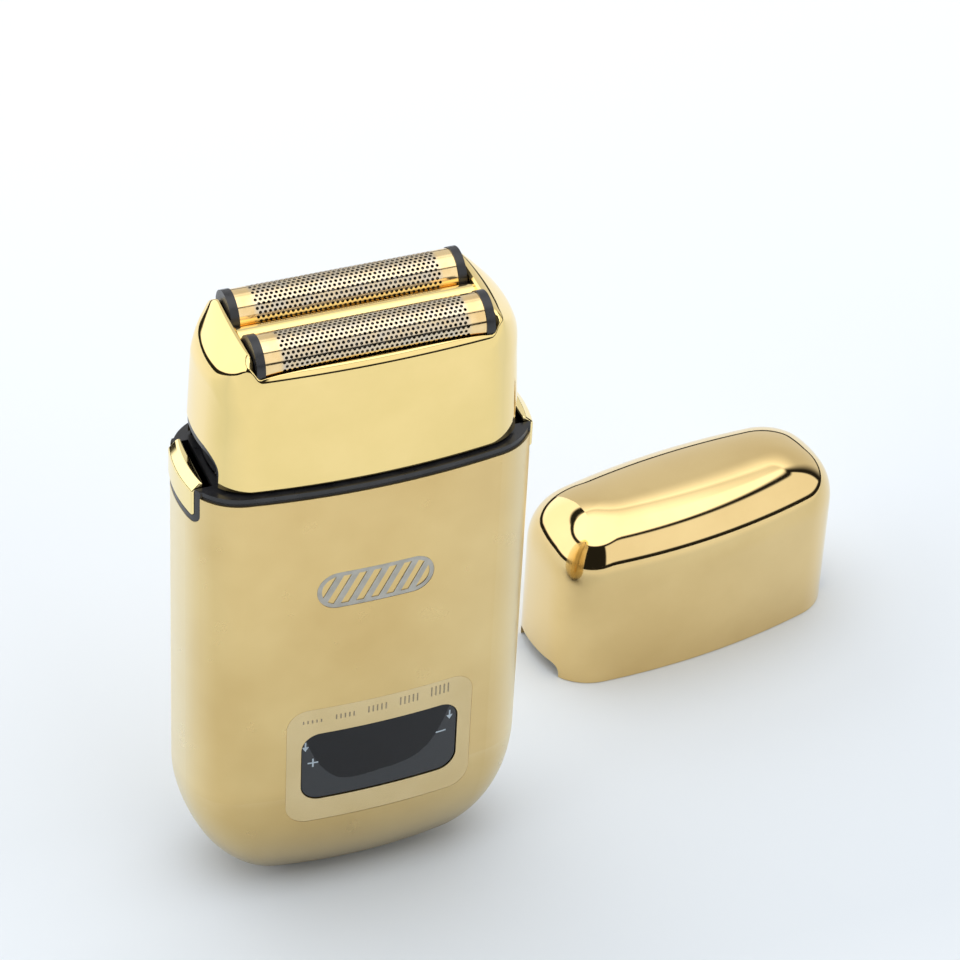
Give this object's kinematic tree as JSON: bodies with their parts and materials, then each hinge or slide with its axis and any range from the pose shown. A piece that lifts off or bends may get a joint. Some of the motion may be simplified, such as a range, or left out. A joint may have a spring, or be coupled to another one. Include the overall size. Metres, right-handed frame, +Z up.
{
  "type": "foil shaver",
  "caption": "Cordless two-foil barber shaver with a rounded metal handle, display rocker, lift-off head, side release buttons and a travel cap.",
  "frame": {"origin": "centre of the flat foot that the handle stands on", "axes": "+Z up along the handle towards the foils, +X across the handle along the foils, -Y towards the display"},
  "size_m": [0.1442, 0.0672, 0.1212],
  "materials": {
    "satin_gold": "satin",
    "polished_gold": "polished",
    "button_gold": "polished",
    "foil_gold": "satin",
    "cutter_steel": "satin",
    "black_plastic": "satin",
    "grey_plastic": "matte",
    "white_plastic": "satin",
    "rubber": "matte",
    "display_gloss": "gloss",
    "label_film": "gloss",
    "emblem_silver": "satin",
    "steel": "satin",
    "spring_steel": "satin",
    "nickel": "satin",
    "contact_brass": "satin",
    "battery_wrap": "gloss",
    "circuit_board": "satin",
    "chip_black": "matte",
    "display_block": "gloss",
    "switch_metal": "satin"
  },
  "bodies": {
    "handle": {"housing_shell": "satin_gold", "rear_cover": "satin_gold", "label_film": "label_film", "emblem": "emblem_silver", "collar_gaskets": "rubber", "collar": "black_plastic", "drive_deck": "black_plastic", "deck_screws": "steel", "chassis": "grey_plastic", "battery_cell": "battery_wrap", "battery_tabs": "nickel", "main_board": "circuit_board", "display_module": "display_block", "board_chips": "chip_black", "tact_switches": "switch_metal", "charge_board": "circuit_board", "usb_socket": "steel", "motor_can": "steel", "motor_end_cap": "white_plastic", "motor_terminals": "contact_brass", "motor_mount": "steel", "motor_screws": "steel", "left_release_spring": "spring_steel", "right_release_spring": "spring_steel"},
    "rotor": {"motor_shaft": "steel", "eccentric_cam": "contact_brass"},
    "bridge": {"drive_bridge": "white_plastic", "flexure_legs": "spring_steel", "front_cutter_spring": "spring_steel", "rear_cutter_spring": "spring_steel"},
    "front_cutter_unit": {"front_cutter": "cutter_steel", "front_cutter_carrier": "black_plastic"},
    "rear_cutter_unit": {"rear_cutter": "cutter_steel", "rear_cutter_carrier": "black_plastic"},
    "head": {"head_frame": "polished_gold", "left_head_liner": "black_plastic", "right_head_liner": "black_plastic"},
    "front_foil_unit": {"front_foil": "foil_gold", "front_foil_cassette": "black_plastic"},
    "rear_foil_unit": {"rear_foil": "foil_gold", "rear_foil_cassette": "black_plastic"},
    "left_button": {"left_release_button": "button_gold"},
    "right_button": {"right_release_button": "button_gold"},
    "rocker": {"rocker_key": "display_gloss"},
    "cap": {"travel_cap": "polished_gold"}
  },
  "joints": [
    {"name": "motor_spin", "type": "hinge", "parent": "handle", "child": "rotor", "pos_m": [0, 0, 0.09], "axis": [0, 0, 1], "continuous": true},
    {"name": "bridge_swing", "type": "slide", "parent": "handle", "child": "bridge", "axis": [1, 0, 0], "range_m": [-0.001, 0.001], "stiffness_N_per_m": 300, "deforming": ["flexure_legs"]},
    {"name": "front_cutter_float", "type": "slide", "parent": "bridge", "child": "front_cutter_unit", "axis": [0, 0, 1], "range_m": [-0.0012, 0], "stiffness_N_per_m": 150, "springref_m": 0.0006, "deforming": ["front_cutter_spring"]},
    {"name": "rear_cutter_float", "type": "slide", "parent": "bridge", "child": "rear_cutter_unit", "axis": [0, 0, 1], "range_m": [-0.0012, 0], "stiffness_N_per_m": 150, "springref_m": 0.0006, "deforming": ["rear_cutter_spring"]},
    {"name": "head_lift", "type": "slide", "parent": "handle", "child": "head", "axis": [0, 0, 1], "range_m": [0, 0.032]},
    {"name": "front_foil_float", "type": "slide", "parent": "head", "child": "front_foil_unit", "axis": [0, 0, 1], "range_m": [-0.0012, 0], "stiffness_N_per_m": 250, "springref_m": 0.0006},
    {"name": "rear_foil_float", "type": "slide", "parent": "head", "child": "rear_foil_unit", "axis": [0, 0, 1], "range_m": [-0.0012, 0], "stiffness_N_per_m": 250, "springref_m": 0.0006},
    {"name": "left_release", "type": "slide", "parent": "handle", "child": "left_button", "axis": [1, 0, 0], "range_m": [0, 0.0012], "stiffness_N_per_m": 600, "springref_m": -0.0006, "deforming": ["left_release_spring"]},
    {"name": "right_release", "type": "slide", "parent": "handle", "child": "right_button", "axis": [-1, 0, 0], "range_m": [0, 0.0012], "stiffness_N_per_m": 600, "springref_m": -0.0006, "deforming": ["right_release_spring"]},
    {"name": "rocker_tilt", "type": "hinge", "parent": "handle", "child": "rocker", "pos_m": [0.0019, -0.0114, 0.0308], "axis": [0, 0, 1], "range_deg": [-1.2, 1.2], "stiffness_Nm_per_rad": 0.2},
    {"name": "cap_lift", "type": "slide", "parent": "handle", "child": "cap", "axis": [0, 0, 1], "range_m": [0, 0.06]}
  ],
  "couplings": [
    {"joint": "front_cutter_float", "follows": "front_foil_float", "ratio": 1},
    {"joint": "rear_cutter_float", "follows": "rear_foil_float", "ratio": 1}
  ]
}
